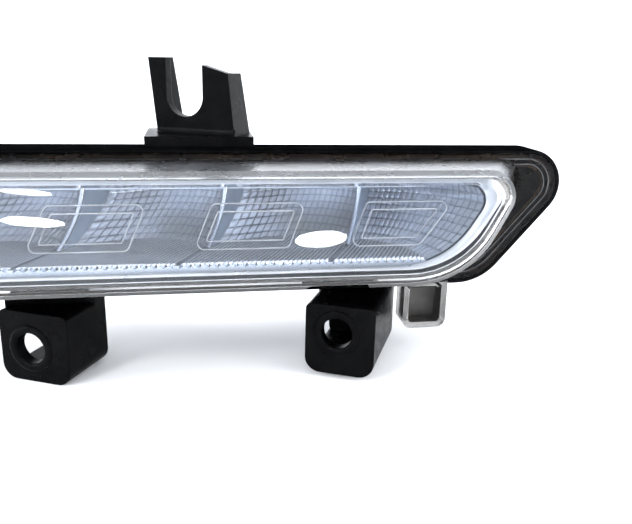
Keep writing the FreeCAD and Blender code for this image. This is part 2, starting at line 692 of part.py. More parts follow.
def bright_rim():
    """Bright band round the opening, parallel to the opening's rake."""
    least_u = OPENING_INNER_END - RIM_INNER_BAND - LENS_WALL - RIM_GAP
    corners = [(max(a + (b - a) * RIM_BLEND, least_u), c + (d - c) * RIM_BLEND)
               for (a, c), (b, d) in zip(BASE_CORNERS, FRONT_CORNERS)]
    slope = (OPENING_BOTTOM_V - OPENING_TOP_V) / (OPENING_TOP - OPENING_BOTTOM)
    low_v = OPENING_BOTTOM_V + OPENING_BOTTOM * slope
    high_v = OPENING_TOP_V - (FLANGE_HEIGHT - OPENING_TOP) * slope
    slab = [V(0, low_v, 0), V(0, high_v, FLANGE_HEIGHT),
            V(0, high_v + RIM_THICKNESS, FLANGE_HEIGHT), V(0, low_v + RIM_THICKNESS, 0)]
    band = prism(rounded(corners, LENS_FRONT_RADII, LENS_WALL + RIM_GAP), OPENING_BOTTOM_V * 2, 0)
    return band.common(polygon_prism(slab, V(FLANGE_TOP_LENGTH, 0, 0)))


def led_place(index):
    """Place of an emitter above the middle of its cell."""
    u = FIRST_DIVIDER + index * CELL_PITCH + CELL_X / 2 * COS + LED_BACK_OF_DIVIDER * SIN
    v = DIVIDER_V - CELL_X / 2 * SIN + LED_BACK_OF_DIVIDER * COS
    return u, v


def peg_places():
    """Places of the reflector's pegs, above the dividers between cells."""
    along = (PEG_V - DIVIDER_V) * SIN / COS
    return [(FIRST_DIVIDER + index * CELL_PITCH + along, PEG_V) for index in range(1, CELLS)]


def make_reflector():
    """Stepped bowls with dividers, fluted shelf, sloping ceiling, bright rim, lugs and pegs."""
    half = DIVIDER_WALL / 2
    shell = on_car(front_block())
    for index in range(CELLS):
        shell = shell.fuse(in_cell(bowl_solid(-half, CELL_X + half, SHELF_Z - SHELF, CEILING_Z + CEILING,
                                              BACK_COLUMNS, BACK_ROWS, SKIN, 0.0, 0.0), index))
    shell = shell.common(on_car(prism(rounded(OPENING_CORNERS, OPENING_RADII, -END_WALL),
                                      OPENING_BOTTOM_V * 2, TUB_BACK)))
    shell = shell.fuse(on_car(bright_rim()))
    for start, end in (INNER_LUG, OUTER_LUG):
        shell = shell.fuse(on_car(box((start, LUG_V, LUG_BOTTOM), (end, LUG_V + LUG, LUG_TOP))))
    for u, v in peg_places():
        peg = Part.makeCylinder(PEG_RADIUS, BOARD + PEG_PROUD + CEILING, V(u, v, CEILING_Z))
        shell = shell.fuse(on_car(peg))

    space = on_car(front_space())
    for index in range(CELLS):
        space = space.fuse(in_cell(bowl_solid(half, CELL_X - half, SHELF_Z, CEILING_Z, BOWL_COLUMNS,
                                              BOWL_ROWS, 0.0, OPENING_BOTTOM_V * 2, FLUTE_RISE), index))
    opening = on_car(prism(rounded(OPENING_CORNERS, OPENING_RADII), OPENING_BOTTOM_V * 2, TUB_BACK))
    shell = shell.cut(space.common(opening))
    for index in range(CELLS):
        u, v = led_place(index)
        side = LED_WINDOW / 2
        shell = shell.cut(on_car(box((u - side, v - side, CEILING_Z - CEILING),
                                     (u + side, v + side, CEILING_Z + CEILING))))
    for u, v, z in lug_screw_places():
        shell = shell.cut(on_car(drum(SCREW_RADIUS + SCREW_HOLE_GAP, LUG, (u, v, z))))
    return shell


def make_led_board():
    """Flat board on top of the reflector's ceiling, held by the pegs."""
    board = box((LED_BOARD_START, LED_BOARD_FRONT, BOARD_Z), (LED_BOARD_END, LED_BOARD_BACK, BOARD_Z + BOARD))
    for u, v in peg_places():
        board = board.cut(Part.makeCylinder(PEG_RADIUS, BOARD, V(u, v, BOARD_Z)))
    return board


def make_led(index):
    """Emitter under the board: square package with a low window."""
    u, v = led_place(index)
    side = LED_SIDE / 2
    inner = LED_WINDOW_SIDE / 2
    low = BOARD_Z - LED_HEIGHT
    package = box((u - side, v - side, low), (u + side, v + side, BOARD_Z))
    return package.fuse(box((u - inner, v - inner, low - LED_WINDOW_RISE), (u + inner, v + inner, low)))


def make_driver_board():
    """Upright board on posts behind the bowls."""
    board = box((DRIVER_START, DRIVER_V, DRIVER_BOTTOM),
                (DRIVER_START + DRIVER_LENGTH, DRIVER_V + BOARD, DRIVER_BOTTOM + DRIVER_HEIGHT))
    for u, v, z in driver_screw_places():
        board = board.cut(drum(SCREW_RADIUS + SCREW_HOLE_GAP, BOARD, (u, v, z)))
    for pin in make_pins():
        board = board.cut(pin)
    return board


def make_chip():
    """Driver chip on the back of the driver board."""
    bottom = COMPONENT_Z - CHIP_SIDE / 2
    start = DRIVER_V + BOARD
    return box((CHIP_START, start, bottom), (CHIP_START + CHIP_SIDE, start + CHIP_HEIGHT, bottom + CHIP_SIDE))


def make_coil():
    """Shielded power coil: a square block with cut corners."""
    start = DRIVER_V + BOARD
    low, high = COIL_START, COIL_START + COIL_SIDE
    bottom, top = COMPONENT_Z - COIL_SIDE / 2, COMPONENT_Z + COIL_SIDE / 2
    cut = COIL_CORNER
    outline = [(low + cut, bottom), (high - cut, bottom), (high, bottom + cut), (high, top - cut),
               (high - cut, top), (low + cut, top), (low, top - cut), (low, bottom + cut)]
    return polygon_prism([V(u, start, z) for u, z in outline], V(0, COIL_HEIGHT, 0))


def make_capacitor(index):
    """Can capacitor standing off the driver board."""
    u = FIRST_CAPACITOR + index * CAPACITOR_PITCH
    return drum(CAPACITOR_RADIUS, CAPACITOR_HEIGHT, (u, DRIVER_V + BOARD, COMPONENT_Z))


def make_link():
    """Flat flexible strip from the light board over to the driver board."""
    top = BOARD_Z + BOARD
    end = LINK_START + LINK_LENGTH
    strip = box((LINK_START, LED_BOARD_BACK - LINK_DROP, top), (end, DRIVER_V, top + LINK_THICKNESS))
    drop_low = DRIVER_BOTTOM + DRIVER_HEIGHT - LINK_DROP
    drop = box((LINK_START, DRIVER_V - LINK_THICKNESS, drop_low), (end, DRIVER_V, top + LINK_THICKNESS))
    return strip.fuse(drop).removeSplitter()


def make_pins():
    """Flat terminals from the driver board through the tub into the socket."""
    pins = []
    for index in range(PINS):
        u = SOCKET_U + (index - (PINS - 1) / 2) * PIN_PITCH
        low = (u - PIN_WIDTH / 2, DRIVER_V, SOCKET_Z - PIN_THICKNESS / 2)
        blade = box(low, (u + PIN_WIDTH / 2, TUB_BACK + PIN_REACH, SOCKET_Z + PIN_THICKNESS / 2))
        tip = [e for e in blade.Edges if all(abs(v.Y - TUB_BACK - PIN_REACH) < 0.01 for v in e.Vertexes)]
        pins.append(blade.makeChamfer(PIN_THICKNESS / 3, tip))
    return pins


def make_screw(place):
    """Hexagon-head screw."""
    u, v, z = place
    head = hexagon(SCREW_HEAD_RADIUS, SCREW_HEAD, (u, v - SCREW_HEAD, z))
    return head.fuse(drum(SCREW_RADIUS, SCREW_LENGTH, place))


def make_vent():
    """Breathing membrane on the spout and the ribbed cap over both."""
    end = TUB_BACK + SPOUT_LENGTH
    membrane = drum(SPOUT_RADIUS, MEMBRANE, (VENT_U, end, VENT_Z))
    inside = SPOUT_RADIUS + VENT_CAP_GAP
    depth = SPOUT_LENGTH - VENT_CAP_GAP + MEMBRANE
    start = end + MEMBRANE - depth
    cap = drum(inside + VENT_CAP_WALL, depth + VENT_CAP_WALL + VENT_CAP_GAP, (VENT_U, start, VENT_Z))
    cap = cap.cut(drum(inside, depth + VENT_CAP_GAP, (VENT_U, start, VENT_Z)))
    for index in range(VENT_RIBS):
        rib = box((VENT_U + SPOUT_RADIUS, start, VENT_Z - VENT_RIB / 2),
                  (VENT_U + inside + VENT_CAP_WALL / 2, end, VENT_Z + VENT_RIB / 2))
        rib.rotate(V(VENT_U, 0, VENT_Z), V(0, 1, 0), index * 360 / VENT_RIBS)
        cap = cap.fuse(rib.cut(drum(SPOUT_RADIUS, depth, (VENT_U, start, VENT_Z))))
    return membrane, cap.removeSplitter()


os.makedirs("parts", exist_ok=True)
make_housing().exportStep("parts/housing.step")
make_reflector().exportStep("parts/reflector.step")
vent_membrane, vent_cap = make_vent()
lamp_nodes = {
    "outer_lens": make_outer_lens(),
    "sealant_bead": make_sealant(),
    "led_board": make_led_board(),
    "driver_board": make_driver_board(),
    "driver_chip": make_chip(),
    "coil": make_coil(),
    "board_link": make_link(),
    "vent_membrane": vent_membrane,
    "vent_cap": vent_cap,
    "reflector_screws": Part.makeCompound([make_screw(place) for place in lug_screw_places()]),
    "driver_screws": Part.makeCompound([make_screw(place) for place in driver_screw_places()]),
}
for number in range(CELLS):
    lamp_nodes[f"led_{number + 1}"] = make_led(number)
for number in range(CAPACITORS):
    lamp_nodes[f"capacitor_{number + 1}"] = make_capacitor(number)
for number, terminal in enumerate(make_pins()):
    lamp_nodes[f"connector_pin_{number + 1}"] = terminal
for name, node in lamp_nodes.items():
    on_car(node).exportStep(f"parts/{name}.step")
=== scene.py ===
import json
import math

import bpy
from mathutils import Matrix, Vector


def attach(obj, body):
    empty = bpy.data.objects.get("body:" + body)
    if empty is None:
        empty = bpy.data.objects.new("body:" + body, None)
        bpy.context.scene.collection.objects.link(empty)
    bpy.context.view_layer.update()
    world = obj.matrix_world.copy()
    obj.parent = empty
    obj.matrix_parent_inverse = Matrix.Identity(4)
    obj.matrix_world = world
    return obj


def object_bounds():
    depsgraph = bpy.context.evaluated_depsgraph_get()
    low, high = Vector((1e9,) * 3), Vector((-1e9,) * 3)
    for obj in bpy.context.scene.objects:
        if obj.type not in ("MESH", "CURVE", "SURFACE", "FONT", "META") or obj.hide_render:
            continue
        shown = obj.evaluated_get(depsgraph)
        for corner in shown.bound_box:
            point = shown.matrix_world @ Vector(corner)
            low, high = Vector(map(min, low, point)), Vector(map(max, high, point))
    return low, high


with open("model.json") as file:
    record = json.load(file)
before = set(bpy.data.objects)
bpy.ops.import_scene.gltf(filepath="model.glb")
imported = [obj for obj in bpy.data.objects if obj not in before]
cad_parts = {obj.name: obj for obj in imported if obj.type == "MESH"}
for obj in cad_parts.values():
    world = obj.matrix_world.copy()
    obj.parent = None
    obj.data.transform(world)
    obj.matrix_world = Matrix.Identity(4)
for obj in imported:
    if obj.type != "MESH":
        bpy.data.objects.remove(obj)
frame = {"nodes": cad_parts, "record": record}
nodes = frame["nodes"]
cad_low, cad_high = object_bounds()

# Lamp frame: u runs outboard along the lens, v runs back from the flange face, z runs up from the flange.
# Sizes are in millimetres of that frame, as the solids have them, unless a comment says otherwise.
MM = 0.001
SWEEP = math.radians(26.0)
LAMP_PLACE = Vector((-39.0, -14.3, 12.2)) * MM
SIN = math.sin(SWEEP)
COS = math.cos(SWEEP)

# Outlines: corners are (u, z, radius)
FLANGE_OUTLINE = ((0.0, 0.0, 9.0), (161.3, 0.0, 15.0), (193.0, 37.2, 9.5), (0.0, 37.2, 9.0))
OPENING = ((17.5, 12.0, 4.0), (142.6, 12.0, 22.0), (156.5, 31.1, 4.0), (17.5, 31.1, 4.0))
OPENING_TOP = OPENING[2][1]
OPENING_MARGIN = 0.15
OPENING_FRONT_V = -19.6
RIM_OUTLINE = ((11.0, 8.56, 7.0), (146.7, 8.56, 26.0), (164.91, 34.44, 6.0), (11.0, 34.44, 7.0))
OUTLINE_STEPS = 14
LEAST_RADIUS = 0.3

# Reflector cells: bowls behind dividers whose front edges are parabolas
CELLS = 4
CELL_PITCH = 35.64
CELL_WIDTH = CELL_PITCH * COS
FIRST_DIVIDER = 19.7
DIVIDER_V = 5.7
DIVIDER_WALL = 1.2
DIVIDER_CURVE = 21.7
PARABOLA_TOP = 29.2
BOWL_SETBACK = 12.3
BOWL_CURVE = 13.2
BOWL_SIDE_DEPTH = 16.0
BOWL_SIDE_VERTEX = 22.0
CEILING_Z = 26.2
SHELF_Z = 12.7

# Domed facets, with painted shade in a band near each divider; the last bowl closes in to the rim
FACET_COLUMNS = 20
FACET_ROWS = 9
FACET_STEPS = 6
FACET_BULGE = 0.20
FACET_LIFT = 0.12
DOME_SHARE = 0.5
JOINT_POWER = 9
JOINT_PLAIN = 0.5
SHADE_BAND_AT = 0.16
SHADE_BAND_WIDTH = 0.15
SHADE_BAND_BULGE = 1.6
SHADE_BAND_POWER = 4
SHADE_BAND_DEPTH = 0.85
END_CLEARANCE = 0.1
END_BEHIND_RIM = 0.4
END_TOP = 30.2
END_HOLLOW = 16.0
END_FOOT = 0.4

# Ribs over the flutes of the shelf, with painted shade down their sides
RIBS = 32
RIB_BASE = 0.56
RIB_RISE = 0.40
RIB_SHADE = 0.85
RIB_BACK_GAP = 0.2
RIB_END_RISE = 0.4
RIB_STEPS = 8
RIB_LENGTH_STEPS = 12

# Rounded edges and satin flanks of the dividers
BEAD_RADIUS = 0.72
BEAD_SIDES = 10
BEAD_STEPS = 18
BEAD_TOP_OVERRUN = 0.6
BEAD_FOOT_GAP = 0.3
FLANK_LIFT = 0.03
FLANK_FOOT = 0.3
FLANK_TOP_GAP = 0.1
FLANK_EDGE_GAP = 0.3

# Rim band, flatter along its top, with painted shade there
RIM_INSET = 2.3
RIM_OVERLAP = 0.05
RIM_TOP_V = -17.0
RIM_SLOPE = 3.5 / 19.1
RIM_LIFT = 0.03
RIM_BULGE = 0.9
RIM_ROUNDNESS = 0.7
RIM_STEPS = 8
RIM_FLAT_FROM = 29.5
RIM_FLAT_OVER = 2.0
RIM_FLATNESS = 0.85
RIM_SHADE_END = 106.0
RIM_SHADE_NORMAL = -0.9

# Lens front, its raised outlines, and fine light lines in it that are painted reflections: top lines are (v, z,
# radius)
FRONT_TOP = 34.4
FRONT_TOP_V = -20.0
FRONT_RAKE = math.radians(18.0)
LENS_WALL = 1.8
FIRST_PAD = 15.3
PAD_LENGTH = 21.5
PAD_HEIGHT = 10.4
PAD_SLANT = 4.3
END_PAD_SLANT = 9.0
PAD_ROUND = 1.6
PAD_BORDER = 1.9
PAD_EDGE = 0.1
PAD_RISE = 0.4
PAD_TOP_GAP = 6.4
PAD_CORNER_STEPS = 6
LINE_RADIUS = 0.17
LINE_SETBACK = LINE_RADIUS * 1.2
TOP_LINES = ((-3.5, 32.75, 0.16), (-7.0, 32.7, 0.22), (-9.5, 32.65, 0.13), (-12.5, 32.6, 0.2), (-14.5, 32.55, 0.14))
TOP_LINE_STOPS = (14.0, 50.0, 90.0, 130.0, 160.0)
FOOT_LINE_OUTER = 2.7
FOOT_LINE_INNER = 4.1
FOOT_LINE_V = 1.3
FOOT_LINE_RADIUS = 0.16
TUBE_SIDES = 6
TUBE_ASIDE = Vector((0.3, 0.9, 0.25))

# Linings of the tab's hollow
TAB_START = 139.5
TAB_END = 152.0
TAB_DROP = 13.0
TAB_DEPTH = 7.0
TAB_SHEET = 1.65
TAB_TOP = -0.6
TAB_FRONT_V = 0.25
TAB_ROUND = 1.1
TAB_ROUND_SHARE = 0.3

# Rings round the bracket holes: (radius, rise) round each hole, in millimetres of the part's frame
RING_PROFILE = ((4.15, 0.0), (4.3, 0.3), (4.9, 0.42), (5.6, 0.42), (6.1, 0.28), (6.3, 0.0))
RING_STEPS = 48
HOLES = (Vector((0.0, 0.0, 0.0)), Vector((72.6, 25.8, 3.9)))

# Textures: scales in waves per metre, heights in metres
MOTTLE_SHARE = 4
WANDER_SHARE = 3
NOISE_DETAIL = 4.0
NOISE_LOW = 0.3
NOISE_HIGH = 0.7
RAMP_START = 0.35
RAMP_END = 0.65
PLASTIC_SCALE = 900.0
PLASTIC_GRAIN = 0.00002
METAL_SCALE = 600.0
METAL_GRAIN = 0.000005
GRAIN_STRENGTH = 0.3
FLOOR_SCALE = 40.0
SEALANT_SCALE = 400.0

# Lens: clear in front, smoky from just ahead of the flange, and grey along its upper wall as a painted reflection
LENS_LOW = (0.93, 0.95, 0.97)
LENS_HIGH = (0.98, 0.99, 1.0)
LENS_ROUGHNESS = (0.0, 0.03)
LENS_TONE_SCALE = 60.0
LENS_ROUGH_SCALE = 90.0
LENS_WAVE_SCALE = 45.0
LENS_WAVE = 0.00003
LENS_WAVE_STRENGTH = 0.12
LENS_INDEX = 1.5
LENS_TOP_FROM = 32.2
LENS_TOP_FULL = 33.2
LENS_TOP_PAINTED_GREY = (0.62, 0.63, 0.65)
LENS_TOP_ROUGHNESS = 0.26
SMOKE_FROM = 1.5
SMOKE_FULL = 0.2
FLANGE_TINT = (0.20, 0.195, 0.19)
FLANGE_INDEX = 1.2

# Facets: metal with darker joints and painted shade
FACET_METALLIC = 0.72
FACET_LOW = (0.78, 0.82, 0.89)
FACET_HIGH = (0.87, 0.90, 0.95)
FACET_JOINT_AND_SHADE = (0.10, 0.115, 0.15)
FACET_TONE_SCALE = 120.0
FACET_ROUGH_SCALE = 200.0
FACET_ROUGHNESS = (0.08, 0.16)

# Black moulding: softened edges, and no shine on the rim's upper face
BLACK_EDGE = 0.5
BLACK_SHINE = 0.03
BEVEL_SAMPLES = 4
RIM_TOP = 37.2
RIM_TOP_BAND = 0.4

# Reflector metal: painted shade from the shelf's front edge down
SHELF_SHADE_FROM = SHELF_Z - 0.8
SHELF_SHADE_FULL = SHELF_Z + 0.9
SHELF_SHADE = (0.24, 0.26, 0.29)

# How solid the pad lines are, and how metallic the dividers' flanks are
PAD_LINE_ALPHA = 0.62
SATIN_METALLIC = 0.35

# Studio, in metres and watts: floor that sweeps up behind, and lights placed from the part's centre
FLOOR_HALF_WIDTH = 4.0
FLOOR_FRONT = -3.0
SWEEP_START = 0.7
SWEEP_RADIUS = 0.5
SWEEP_STEPS = 16
BACKDROP_TOP = 3.0
WHITE = (1.0, 1.0, 1.0)
COOL = (0.93, 0.96, 1.0)
PANELS = (
    ("overhead", (-0.10, -0.10, 0.60), (1.4, 1.0), 3.5, WHITE),
    ("front_left", (-0.55, -0.45, 0.30), (0.25, 0.5), 5.0, COOL),
    ("right_side", (0.60, -0.10, 0.25), (0.3, 0.5), 3.0, WHITE),
    ("glint", (-0.22, -0.55, 0.30), (0.14, 0.08), 2.0, WHITE),
)
# Small lamps whose reflections lie on the lens: place, target, size, power
SMALL_LAMPS = (
    ((0.3541, -0.361, 0.2081), (0.0715, 0.0122, 0.0324), (0.049, 0.015), 0.075),
    ((0.1175, -0.4651, 0.226), (0.0151, -0.0136, 0.037), (0.053, 0.008), 0.04),
    ((0.1079, -0.4577, 0.25), (0.013, -0.0125, 0.0431), (0.044, 0.0048), 0.02),
)
GLOW_PLACE = Vector((0.0, 0.25, 0.9))
GLOW_TARGET = Vector((0.0, 1.1, 0.25))
GLOW_SIZE = (2.0, 0.6)
GLOW_POWER = 12.0

# Room: bluish in front and white behind, brighter in front, dimmer on the outboard side
ROOM_FRONT = (0.84, 0.90, 1.0)
ROOM_TONE_RANGE = (-0.6, 0.5)
ROOM_SIDE_RANGE = (0.25, 0.75)
ROOM_SIDE = (1.0, 0.5)
ROOM_DEPTH_RANGE = (-0.9, 0.0)
ROOM_DEPTH = (1.7, 1.0)
ROOM_STRENGTH = 1.35

# Camera of the photograph
CAMERA_PLACE = Vector((111.26, -134.22, 72.47)) * MM
CAMERA_AZIMUTH = math.radians(15.59)
CAMERA_ELEVATION = math.radians(16.73)
CAMERA_ROLL = math.radians(1.47)
CAMERA_LENS_MM = 39.3
CAMERA_NEAR = 0.01
SENSOR_MM = 36.0


def lamp_point(u, v, z):
    """Point of the lamp frame, in millimetres, as a point of the scene."""
    return LAMP_PLACE + Vector((u * COS - v * SIN, u * SIN + v * COS, z)) * MM


def material(name):
    """New node material with its shader."""
    made = bpy.data.materials.new(name)
    made.use_nodes = True
    return made, made.node_tree, made.node_tree.nodes["Principled BSDF"]


def noise(tree, scale):
    """Noise texture on the object's own coordinates."""
    coords = tree.nodes.new("ShaderNodeTexCoord")
    texture = tree.nodes.new("ShaderNodeTexNoise")
    texture.inputs["Scale"].default_value = scale
    texture.inputs["Detail"].default_value = NOISE_DETAIL
    tree.links.new(coords.outputs["Object"], texture.inputs["Vector"])
    return texture.outputs["Fac"]


def ramp(tree, source, low, high, start=RAMP_START, end=RAMP_END):
    """Colour ramp between two colours, driven by a socket."""
    made = tree.nodes.new("ShaderNodeValToRGB")
    made.color_ramp.elements[0].position = start
    made.color_ramp.elements[0].color = (*low, 1.0)
    made.color_ramp.elements[1].position = end
    made.color_ramp.elements[1].color = (*high, 1.0)
    tree.links.new(source, made.inputs["Fac"])
    return made.outputs["Color"]


def map_range(tree, source, low, high, to_low=0.0, to_high=1.0):
    """Socket whose range from low to high becomes another range."""
    made = tree.nodes.new("ShaderNodeMapRange")
    made.inputs["From Min"].default_value = low
    made.inputs["From Max"].default_value = high
    made.inputs["To Min"].default_value = to_low
    made.inputs["To Max"].default_value = to_high
    tree.links.new(source, made.inputs["Value"])
    return made.outputs["Result"]


def blend(tree, factor, first, second):
    """Colour mixed by a factor; each of the two is a socket or a fixed colour."""
    made = tree.nodes.new("ShaderNodeMix")
    made.data_type = "RGBA"
    tree.links.new(factor, made.inputs["Factor"])
    for name, colour in (("A", first), ("B", second)):
        if isinstance(colour, tuple):
            made.inputs[name].default_value = (*colour, 1.0)
        else:
            tree.links.new(colour, made.inputs[name])
    return made.outputs["Result"]


def calculate(tree, operation, *values):
    """Result of a maths node; each value is a socket or a number."""
    made = tree.nodes.new("ShaderNodeMath")
    made.operation = operation
    for socket, value in zip(made.inputs, values):
        if isinstance(value, float):
            socket.default_value = value
        else:
            tree.links.new(value, socket)
    return made.outputs["Value"]


def height_of_point(tree):
    """Height of the shaded point, in metres."""
    coords = tree.nodes.new("ShaderNodeTexCoord")
    parts = tree.nodes.new("ShaderNodeSeparateXYZ")
    tree.links.new(coords.outputs["Object"], parts.inputs["Vector"])
    return parts.outputs["Z"]


def between_heights(tree, low, high):
    """Share from 0 to 1 between two heights of the lamp, in millimetres."""
    return map_range(tree, height_of_point(tree), LAMP_PLACE.z + low * MM, LAMP_PLACE.z + high * MM)


def vary_roughness(tree, shader, scale, low, high):
    """Roughness that wanders between two values."""
    spread = map_range(tree, noise(tree, scale), NOISE_LOW, NOISE_HIGH, low, high)
    tree.links.new(spread, shader.inputs["Roughness"])


def add_bump(tree, shader, scale, distance, strength=GRAIN_STRENGTH):
    """Fine surface texture."""
    bump = tree.nodes.new("ShaderNodeBump")
    bump.inputs["Strength"].default_value = strength
    bump.inputs["Distance"].default_value = distance
    tree.links.new(noise(tree, scale), bump.inputs["Height"])
    tree.links.new(bump.outputs["Normal"], shader.inputs["Normal"])


def textured(name, dark, light, rough, scale, grain):
    """Material with faint mottling, wandering roughness and a fine grain."""
    made, tree, shader = material(name)
    tree.links.new(ramp(tree, noise(tree, scale / MOTTLE_SHARE), dark, light), shader.inputs["Base Color"])
    vary_roughness(tree, shader, scale / WANDER_SHARE, *rough)
    add_bump(tree, shader, scale, grain)
    return made, shader


def plastic(name, dark, light, rough, scale=PLASTIC_SCALE, metallic=0.0, alpha=1.0):
    """Moulded plastic."""
    made, shader = textured(name, dark, light, rough, scale, PLASTIC_GRAIN)
    shader.inputs["Metallic"].default_value = metallic
    shader.inputs["Alpha"].default_value = alpha
    return made


def metal(name, dark, light, rough):
    """Plain metal."""
    made, shader = textured(name, dark, light, rough, METAL_SCALE, METAL_GRAIN)
    shader.inputs["Metallic"].default_value = 1.0
    return made


def black_moulding(name, dark, light, rough):
    """Black plastic with softened edges and a dull upper face of the rim."""
    made, shader = textured(name, dark, light, rough, PLASTIC_SCALE, PLASTIC_GRAIN)
    tree = made.node_tree
    bevel = tree.nodes.new("ShaderNodeBevel")
    bevel.samples = BEVEL_SAMPLES
    bevel.inputs["Radius"].default_value = BLACK_EDGE * MM
    grain = shader.inputs["Normal"].links[0].from_node
    tree.links.new(bevel.outputs["Normal"], grain.inputs["Normal"])
    rim_top = calculate(tree, "COMPARE", height_of_point(tree), LAMP_PLACE.z + RIM_TOP * MM, RIM_TOP_BAND * MM)
    shine = map_range(tree, rim_top, 0.0, 1.0, BLACK_SHINE, 0.0)
    tree.links.new(shine, shader.inputs["Specular IOR Level"])
    return made


def reflector_metal(name, dark, light, rough):
    """Metal with painted shade from the shelf's front edge down."""
    made = metal(name, dark, light, rough)
    tree = made.node_tree
    base = tree.nodes["Principled BSDF"].inputs["Base Color"]
    share = between_heights(tree, SHELF_SHADE_FROM, SHELF_SHADE_FULL)
    tree.links.new(blend(tree, share, SHELF_SHADE, base.links[0].from_socket), base)
    return made


def faceted_metal(name):
    """Bright metal with darker joints between the facets, and painted shade near the dividers and down the sides of
    the ribs.
    """
    made, tree, shader = material(name)
    shader.inputs["Metallic"].default_value = FACET_METALLIC
    tone = ramp(tree, noise(tree, FACET_TONE_SCALE), FACET_LOW, FACET_HIGH)
    joint_and_shade = tree.nodes.new("ShaderNodeAttribute")
    joint_and_shade.attribute_name = "joint_and_shade"
    tree.links.new(blend(tree, joint_and_shade.outputs["Fac"], tone, FACET_JOINT_AND_SHADE), shader.inputs["Base Color"])
    vary_roughness(tree, shader, FACET_ROUGH_SCALE, *FACET_ROUGHNESS)
    return made


def lens_material(name):
    """Clear moulding, smoky at the flange and the tab below it, and grey along its upper wall as a painted
    reflection.
    """
    made, tree, shader = material(name)
    clear = ramp(tree, noise(tree, LENS_TONE_SCALE), LENS_LOW, LENS_HIGH)
    vary_roughness(tree, shader, LENS_ROUGH_SCALE, *LENS_ROUGHNESS)
    add_bump(tree, shader, LENS_WAVE_SCALE, LENS_WAVE, LENS_WAVE_STRENGTH)
    shader.inputs["Transmission Weight"].default_value = 1.0
    coords = tree.nodes.new("ShaderNodeTexCoord")
    across = tree.nodes.new("ShaderNodeVectorMath")
    across.operation = "DOT_PRODUCT"
    across.inputs[1].default_value = (-SIN, COS, 0.0)
    tree.links.new(coords.outputs["Object"], across.inputs[0])
    flange = LAMP_PLACE.dot(Vector((-SIN, COS, 0.0)))
    smoke = map_range(tree, across.outputs["Value"], flange - SMOKE_FROM * MM, flange - SMOKE_FULL * MM)
    upper = between_heights(tree, LENS_TOP_FROM, LENS_TOP_FULL)
    painted_top = blend(tree, upper, clear, LENS_TOP_PAINTED_GREY)
    tree.links.new(blend(tree, smoke, painted_top, FLANGE_TINT), shader.inputs["Base Color"])
    smooth = shader.inputs["Roughness"].links[0].from_socket
    rough = calculate(tree, "MULTIPLY_ADD", upper, LENS_TOP_ROUGHNESS, smooth)
    tree.links.new(rough, shader.inputs["Roughness"])
    tree.links.new(map_range(tree, smoke, 0.0, 1.0, LENS_INDEX, FLANGE_INDEX), shader.inputs["IOR"])
    return made


BLACK = black_moulding("black_moulding", (0.0010, 0.0010, 0.0011), (0.0024, 0.0024, 0.0027), (0.24, 0.36))
CLEAR = lens_material("clear_moulding")
SILVER = reflector_metal("metallised", (0.60, 0.64, 0.70), (0.70, 0.73, 0.79), (0.10, 0.20))
FACETED = faceted_metal("facets")
BRIGHT = metal("bright_edge", (0.52, 0.55, 0.60), (0.68, 0.71, 0.75), (0.12, 0.2))
SEALANT = plastic("sealant", (0.05, 0.028, 0.015), (0.16, 0.09, 0.045), (0.35, 0.55), SEALANT_SCALE)
BOARD = plastic("solder_mask", (0.01, 0.06, 0.02), (0.02, 0.10, 0.035), (0.25, 0.4))
CHIP = plastic("chip_package", (0.012, 0.012, 0.012), (0.03, 0.03, 0.03), (0.45, 0.6))
FERRITE = plastic("ferrite", (0.03, 0.03, 0.032), (0.08, 0.075, 0.07), (0.5, 0.7))
CAN = metal("drawn_can", (0.60, 0.60, 0.62), (0.72, 0.72, 0.73), (0.2, 0.35))
FILM = plastic("amber_film", (0.30, 0.14, 0.02), (0.45, 0.22, 0.05), (0.2, 0.35))
TERMINAL = metal("tinned", (0.62, 0.60, 0.56), (0.78, 0.75, 0.70), (0.15, 0.3))
ZINC = metal("zinc_plate", (0.45, 0.45, 0.44), (0.62, 0.62, 0.60), (0.2, 0.38))
MEMBRANE = plastic("porous_film", (0.70, 0.70, 0.68), (0.85, 0.85, 0.83), (0.7, 0.9))
RUBBER = plastic("black_rubber", (0.012, 0.012, 0.012), (0.028, 0.028, 0.028), (0.5, 0.7))
PHOSPHOR = plastic("phosphor", (0.70, 0.68, 0.55), (0.82, 0.80, 0.70), (0.2, 0.35))
FROST = metal("frosted_rim", (0.46, 0.47, 0.49), (0.56, 0.57, 0.59), (0.26, 0.36))
SHADE = metal("shaded_rim", (0.30, 0.32, 0.35), (0.40, 0.42, 0.45), (0.30, 0.42))
SATIN = plastic("satin_wall", (0.36, 0.47, 0.64), (0.46, 0.57, 0.73), (0.30, 0.42), metallic=SATIN_METALLIC)
# Light lines inside the lens: painted reflections along the top wall and painted highlights at the foot
REFLECTION_LINE = plastic("painted_reflection_line", (0.44, 0.46, 0.49), (0.60, 0.62, 0.65), (0.15, 0.30))
# Light grey pad lines: painted highlights on the edges of the raised outlines
PAD_LINE = plastic("pad_line", (0.44, 0.46, 0.49), (0.60, 0.62, 0.65), (0.15, 0.30), alpha=PAD_LINE_ALPHA)
SMOKE = plastic("smoky_panel", (0.042, 0.038, 0.034), (0.060, 0.055, 0.050), (0.4, 0.55))
SMOKE_EDGE = plastic("smoky_edge", (0.034, 0.031, 0.028), (0.050, 0.046, 0.042), (0.35, 0.5))
SLOT_MATERIALS = {
    "black_plastic": BLACK, "clear_lens": CLEAR, "sealant": SEALANT, "metallised": SILVER, "board": BOARD,
    "chip": CHIP, "ferrite": FERRITE, "can": CAN, "link": FILM, "terminal": TERMINAL, "screw": ZINC,
    "membrane": MEMBRANE, "vent": RUBBER, "emitter": PHOSPHOR,
}


def dress_nodes():
    """Gives each solid of the frame its finish."""
    for entry in frame["record"]["subparts"]:
        piece = nodes[entry["node"]]
        piece.data.materials.clear()
        piece.data.materials.append(SLOT_MATERIALS[entry["material_slot"]])


